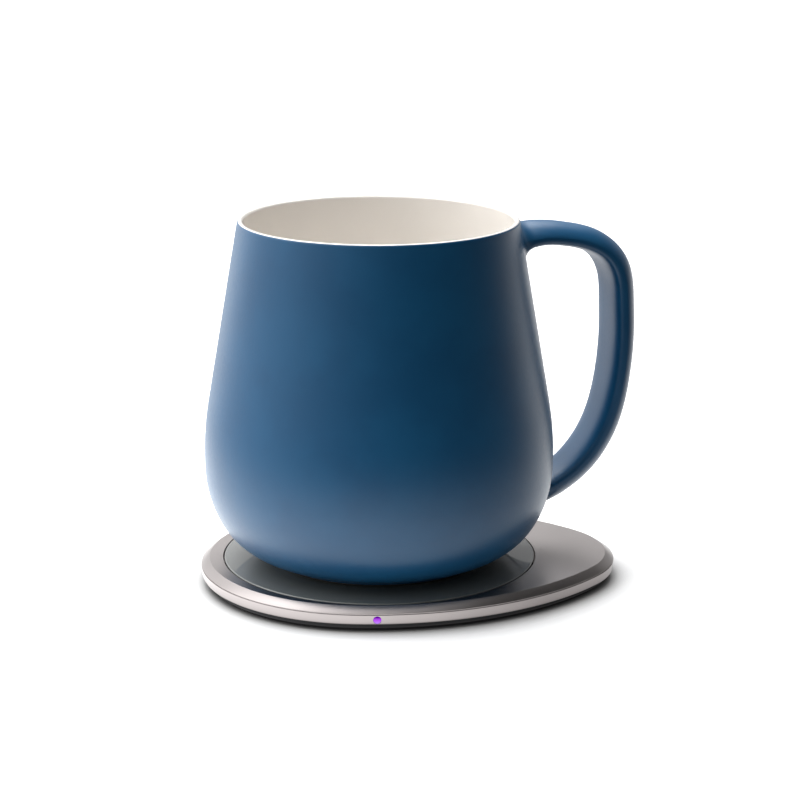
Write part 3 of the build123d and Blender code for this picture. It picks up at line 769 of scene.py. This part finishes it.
def makeMug():
    under, outside, lip, well = cupProfile()
    profile = under + outside + lip + well
    # the blue ends in the middle of the lip's outer rounding
    blueEnd = len(under) + len(outside) + cup["wallSteps"] - 1 + cup["lipSteps"] // 2
    item, bands = turned("mug", profile, cup["segments"], [outsideGlaze(), insideGlaze(), footClay()])
    for face, band in zip(item.data.polygons, bands):
        if band >= blueEnd:
            face.material_index = 1
        elif band < cup["clayBands"]:
            face.material_index = 2
    # the plug takes off what the handle's ends have inside the cup, a third into the lip's wall
    grip = makeHandle()
    plugTop = lipZ + cup["wall"]
    plug = [(0, plugTop)] + [(wallRadius(z) - cup["lipWall"], z) for z in (plugTop, lipZ)] + well
    plug = [(radius + cup["lipWall"] / 3 if radius else 0, z) for radius, z in plug]
    joinUp(grip, turned("plug", plug, handle["plugSides"])[0], "DIFFERENCE")
    joinUp(item, grip, "UNION")
    smooth(item, 40)
    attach(item, "mug")
    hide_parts("mug_body")
    return item


mug = makeMug()
print("mug made,", len(mug.data.polygons), "faces")


# Pad: an egg of four arcs round the glass, its tip turned from the handle
pad = {
    "turn": -15.6,
    "backRadius": 46.0 * mm,
    "setback": 3.64 * mm,
    "tipReach": 69.4 * mm,
    "tipRadius": 28.8 * mm,
    "flankRadius": 76.6 * mm,
    "chamferWide": 2.44 * mm,
    "chamferDrop": 1.65 * mm,
    "glassGap": 0.35 * mm,
    "grooveHeight": 0.25 * mm,
    "grooveDepth": 0.3 * mm,
    "wallTopInset": 0.05 * mm,
    "wallFootInset": 0.3 * mm,
    "wallFootRound": 0.6 * mm,
    "edgeRound": 0.12 * mm,
    "shellWall": 2.2 * mm,
    "ledgeWide": 4.0 * mm,
    "ledgeHeight": 1.25 * mm,
    "slotWide": 9.2 * mm,
    "slotMargin": 0.1 * mm,
    "cutDeep": 4.0 * mm,     # of the slot's and the hole's cutters
    "cutSpare": 1.0 * mm,
    "glassEdge": 0.30 * mm,
    "indicatorTurn": -92.8,
    "indicatorRadius": 1.05 * mm,
    "indicatorGap": 0.05 * mm,
    "indicatorDome": 0.30 * mm,
    "tipSteps": 36,
    "sideSteps": 60,         # of each flank and of each half of the back
    "edgeSteps": 4,
    "slotSteps": 20,
    "glassSides": 256,
    "indicatorSides": 48,
    "domeSteps": 8,
}
glassLow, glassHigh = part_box("glass_disc")
shellLow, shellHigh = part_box("pad_shell")
glassRadius = glassHigh.x
glassTop, glassBottom = glassHigh.z, glassLow.z
landZ, plateTop = shellHigh.z, shellLow.z
chamferZ = landZ - pad["chamferDrop"]
grooveZ = chamferZ - pad["grooveHeight"]
recessRadius = glassRadius + pad["glassGap"]
wallMiddle = (plateTop + grooveZ) / 2

# The outline's arcs: back, two flanks and tip, each tangent to the next
tipX = pad["tipReach"] - pad["setback"]
backCenter = (-pad["setback"], 0)
tipCenter = (tipX - pad["tipRadius"], 0)
fromBack = pad["flankRadius"] - pad["backRadius"]
fromTip = pad["flankRadius"] - pad["tipRadius"]
centerSpan = tipCenter[0] - backCenter[0]
flankAlong = (fromBack**2 - fromTip**2 + centerSpan**2) / (2 * centerSpan)
flankDrop = math.sqrt(fromBack**2 - flankAlong**2)
flankCenter = (backCenter[0] + flankAlong, -flankDrop)
backJoin = math.degrees(math.atan2(flankDrop, -flankAlong))
tipJoin = math.degrees(math.atan2(flankDrop, centerSpan - flankAlong))


def eggRing(inset):
    # points of the pad's outline, drawn in by inset, in the plan's own axes
    steps = pad["sideSteps"]
    half = arc(tipCenter, pad["tipRadius"] - inset, 0, tipJoin, pad["tipSteps"])[:-1]
    half += arc(flankCenter, pad["flankRadius"] - inset, tipJoin, backJoin, steps)[:-1]
    half += arc(backCenter, pad["backRadius"] - inset, backJoin, 180, steps)
    return half + [(x, -y) for x, y in half[-2:0:-1]]


def circleRing(radius):
    # as many points on a circle, each in line with one of the outline's
    angles = [math.atan2(y, x) for x, y in eggRing(0)]
    return [(radius * math.cos(angle), radius * math.sin(angle)) for angle in angles]


def padPlace(x, y, z):
    turn = math.radians(pad["turn"])
    return Vector((x * math.cos(turn) - y * math.sin(turn), x * math.sin(turn) + y * math.cos(turn), z))


def padFacing(x, y, z, angle):
    # a place in the pad's plan with local +Z facing outwards at an angle to the tip's axis
    out = padPlace(math.cos(math.radians(angle)), math.sin(math.radians(angle)), 0)
    spot = padPlace(x, y, z)
    return Matrix(((-out.y, 0, out.x, spot.x), (out.x, 0, out.y, spot.y), (0, 1, 0, spot.z), (0, 0, 0, 1)))


def makeShell():
    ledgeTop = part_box("glass_adhesive")[0].z
    ledgeBottom = ledgeTop - pad["ledgeHeight"]
    edge = pad["edgeRound"]
    section = [
        (pad["shellWall"], plateTop),
        (pad["wallFootInset"], plateTop),
        (pad["wallTopInset"], grooveZ),
        (pad["grooveDepth"], grooveZ),
        (pad["grooveDepth"], chamferZ),
        (0, chamferZ),
        (pad["chamferWide"], landZ),
        (pad["chamferWide"] + edge, landZ),
    ]
    radii = [pad["wallFootRound"], edge / 2, 0, 0, edge / 2, edge * 2]
    section = roundCorners(section, radii, pad["edgeSteps"])
    rings = [[padPlace(x, y, z) for x, y in eggRing(inset)] for inset, z in section]
    bore = [
        (recessRadius + edge / 2, landZ),
        (recessRadius, landZ - edge / 2),
        (recessRadius, ledgeTop),
        (recessRadius - pad["ledgeWide"], ledgeTop),
        (recessRadius - pad["ledgeWide"], ledgeBottom),
    ]
    rings += [[padPlace(x, y, z) for x, y in circleRing(radius)] for radius, z in bore]
    rings.append([padPlace(x, y, ledgeBottom) for x, y in eggRing(pad["shellWall"])])
    count = len(rings[0])
    verts = [point for ring in rings for point in ring]
    faces = []
    for n in range(len(rings)):
        a, b = n * count, (n + 1) % len(rings) * count
        for step in range(count):
            after = (step + 1) % count
            faces.append((a + step, a + after, b + after, b + step))
    return makeObject("padShell", verts, faces, [padMetal()])


def prism(name, outline, back, front, place):
    # a straight cutter with its outline in local x and y
    count = len(outline)
    verts = [place @ Vector((x, y, z)) for z in (back, front) for x, y in outline]
    faces = [tuple(range(count)), tuple(range(count, 2 * count))]
    for step in range(count):
        after = (step + 1) % count
        faces.append((step, after, count + after, count + step))
    return makeObject(name, verts, faces)


def slotOutline(wide, tall):
    half, steps = (wide - tall) / 2, pad["slotSteps"]
    return arc((half, 0), tall / 2, -90, 90, steps) + arc((-half, 0), tall / 2, 90, 270, steps)


shell = makeShell()
slotTall = grooveZ - plateTop - 2 * pad["slotMargin"]
slot = slotOutline(pad["slotWide"], slotTall)
inlet = padFacing(tipX, 0, wallMiddle, 0)
joinUp(shell, prism("inletSlot", slot, -pad["cutDeep"], pad["cutSpare"], inlet), "DIFFERENCE")
nearFlank = (flankCenter[0], -flankCenter[1])
indicatorSpot = polar(nearFlank, pad["flankRadius"] - pad["shellWall"], pad["indicatorTurn"])
indicator = padFacing(*indicatorSpot, wallMiddle, pad["indicatorTurn"])
holeSides = pad["indicatorSides"]
holeRadius = pad["indicatorRadius"] + pad["indicatorGap"]
hole = arc((0, 0), holeRadius, 0, 360 - 360 / holeSides, holeSides - 1)
joinUp(shell, prism("indicatorHole", hole, -pad["cutSpare"], pad["cutDeep"], indicator), "DIFFERENCE")
smooth(shell)
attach(shell, "pad")
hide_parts("pad_shell")
print("pad shell made,", len(shell.data.polygons), "faces")


def makeGlass():
    edge = pad["glassEdge"]
    profile = [(0, glassBottom), (glassRadius, glassBottom), (glassRadius, glassTop), (0, glassTop)]
    profile = roundCorners(profile, [edge / 2, edge])
    item = turned("glassTop", profile, pad["glassSides"], [padGlass()])[0]
    smooth(item)
    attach(item, "pad")
    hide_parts("glass_disc")


def makeLens():
    radius, dome, steps = pad["indicatorRadius"], pad["indicatorDome"], pad["domeSteps"]
    shoulder = pad["shellWall"] - (pad["wallTopInset"] + pad["wallFootInset"]) / 2 - dome
    profile = [(0, 0), (radius, 0), (radius, shoulder)]
    for step in range(1, steps + 1):
        angle = math.pi / 2 * step / steps
        profile.append((radius * math.cos(angle), shoulder + dome * math.sin(angle)))
    finish = indicatorLens(indicator.translation, radius)
    item = turned("indicatorLens", profile, pad["indicatorSides"], [finish])[0]
    item.data.transform(indicator)
    smooth(item)
    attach(item, "pad")
    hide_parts("light_pipe")


makeGlass()
makeLens()
print("glass and indicator made")


# Studio: a pale floor in a room that is bright to the left and behind, and dark to the right.
# Each glow is a table of degrees round from the camera (minus is left) and radiance
studio = {
    "floorReach": 8,         # half the floor's side
    "floorColor": 0.84,
    "floorLift": 0.42,       # added to the floor's colour where it is seen straight, near the mug
    "floorLiftFar": 0.5,     # and far from it
    "liftNear": 0.20,        # distances between which the first goes over to the second
    "liftFar": 0.42,
    "shadeReach": 14 * mm,   # how far the painted shadow round the pad's foot darkens the floor
    "shadeSamples": 12,
    "floorNear": 0.10,       # distances between which the floor's own glow goes from near to far
    "floorFar": 0.26,
    "floorShare": 0.40,      # of the floor's glow that lights matt surfaces
    "highUp": (0.2, 0.7),    # heights of a direction between which one glow goes over to the next
    "topUp": (0.93, 1.0),
    "shareUp": (0.35, 0.85),
    "nearGlow": [
        (-180, 1.6), (-135, 2.8), (-90, 3.1), (-45, 2.8), (0, 2.1),
        (30, 1.5), (60, 1.0), (90, 1.05), (112, 1.6), (140, 2.0), (180, 1.6),
    ],
    "farGlow": [
        (-180, 0.8), (-164, 1.0), (-150, 1.5), (-138, 1.8), (-114, 1.4), (-91, 1.2), (-64, 0.9),
        (-41, 0.46), (-20, 0.18), (0, 0.05), (22, 0.01), (44, 0.02), (68, 0.05), (95, 0.24),
        (112, 0.75), (144, 1.9), (180, 0.8),
    ],
    "lowGlow": [
        (-180, 0.62), (-164, 0.85), (-150, 1.5), (-138, 1.8), (-114, 1.4), (-91, 1.2), (-64, 0.9),
        (-41, 0.46), (-20, 0.18), (0, 0.05), (22, 0.01), (44, 0.02), (68, 0.03), (95, 0.08),
        (112, 0.22), (142, 0.62), (160, 0.45), (180, 0.62),
    ],
    "highGlow": [
        (-180, 0.8), (-135, 1.5), (-90, 1.6), (-45, 1.2), (0, 0.4),
        (30, 0.12), (90, 0.06), (135, 0.06), (180, 0.8),
    ],
    "topGlow": 1.9,
    "topShare": 0.25,        # added to what comes from above where it lights matt surfaces
    # soft boxes: degrees round, degrees up, half its width in degrees, softness, radiance
    "boxes": [(-172, 52, 21, 14, 3.3), (-95, 44, 22, 14, 1.9), (-115, 76, 20, 14, 1.4)],
}


def studioDirection(around, up):
    toCamera = -lookDirection(camera["turn"])
    angle = math.atan2(toCamera.y, toCamera.x) + math.radians(around)
    flat = math.cos(math.radians(up))
    return Vector((math.cos(angle) * flat, math.sin(angle) * flat, math.sin(math.radians(up))))


def roundShare(finish, direction):
    # 0 to 1 for a direction's turn from behind the mug, by its left, to behind it again
    right, near = [finish.cosine(direction, studioDirection(around, 0)) for around in (90, 0)]
    return right.math("ARCTAN2", right, near) * (0.5 / math.pi) + 0.5


def glowRound(finish, share, table):
    top = max(level for turn, level in table)
    stops = [(turn / 360 + 0.5, tint(*[level / top] * 3)) for turn, level in table]
    return finish.node("ShaderNodeValToRGB", {"stops": stops}, [share]) * top


def makeFloor():
    finish = Finish("pale floor")
    seen, glossy = finish.rays()
    place = finish.place()
    away = finish.node("ShaderNodeVectorMath", {"operation": "LENGTH"}, [place], output=1)
    share = roundShare(finish, place)
    near = glowRound(finish, share, studio["nearGlow"])
    far = glowRound(finish, share, studio["farGlow"])
    settings = {"samples": studio["shadeSamples"]}
    # painted shadow: ambient occlusion (clear) darkens the floor's colour, its lift and its glow near the
    # pad's foot and the mug
    clear = finish.node("ShaderNodeAmbientOcclusion", settings, {"Distance": studio["shadeReach"]}, output=1)
    glow = near + away.between(studio["floorNear"], studio["floorFar"]) * (far - near)
    glow = glow * clear * (studio["floorShare"] + glossy * (1 - studio["floorShare"]))
    outer = away.between(studio["liftNear"], studio["liftFar"])
    lift = (studio["floorLift"] + outer * (studio["floorLiftFar"] - studio["floorLift"])) * clear ** 3
    color = finish.node("ShaderNodeCombineColor", inputs=[seen * clear * studio["floorColor"]] * 3)
    diffuse = finish.node("ShaderNodeBsdfDiffuse", inputs={"Color": color})
    strength = seen * lift + (1 - seen) * glow
    light = finish.node("ShaderNodeEmission", inputs={"Color": tint(1, 1, 1), "Strength": strength})
    material = finish.show(finish.node("ShaderNodeAddShader", inputs=[diffuse, light]))
    reach = studio["floorReach"]
    corners = [(-reach, -reach, 0), (reach, -reach, 0), (reach, reach, 0), (-reach, reach, 0)]
    makeObject("floor", corners, [(0, 1, 2, 3)], [material])


def makeWorld():
    world = bpy.data.worlds.new("studio")
    world.use_nodes = True
    bpy.context.scene.world = world
    finish = Finish("studio", world.node_tree)
    ray = finish.node("ShaderNodeTexCoord")
    share = roundShare(finish, ray)
    low = glowRound(finish, share, studio["lowGlow"])
    high = glowRound(finish, share, studio["highGlow"])
    up = finish.axes(ray)[2]
    glow = low + up.between(*studio["highUp"]) * (high - low)
    glow = glow + up.between(*studio["topUp"]) * (studio["topGlow"] - glow)
    for around, above, half, soft, radiance in studio["boxes"]:
        edges = [math.cos(math.radians(half + side * soft / 2)) for side in (1, -1)]
        glow = glow + finish.cosine(ray, studioDirection(around, above)).between(*edges) * radiance
    seen, glossy = finish.rays()
    glow = glow * (1 + (1 - glossy) * up.between(*studio["shareUp"]) * studio["topShare"])
    strength = seen + (1 - seen) * glow
    finish.show(finish.node("ShaderNodeBackground", inputs={"Color": tint(1, 1, 1), "Strength": strength}))


makeFloor()
makeWorld()
bpy.context.scene.view_settings.view_transform = "Standard"
print("studio made")
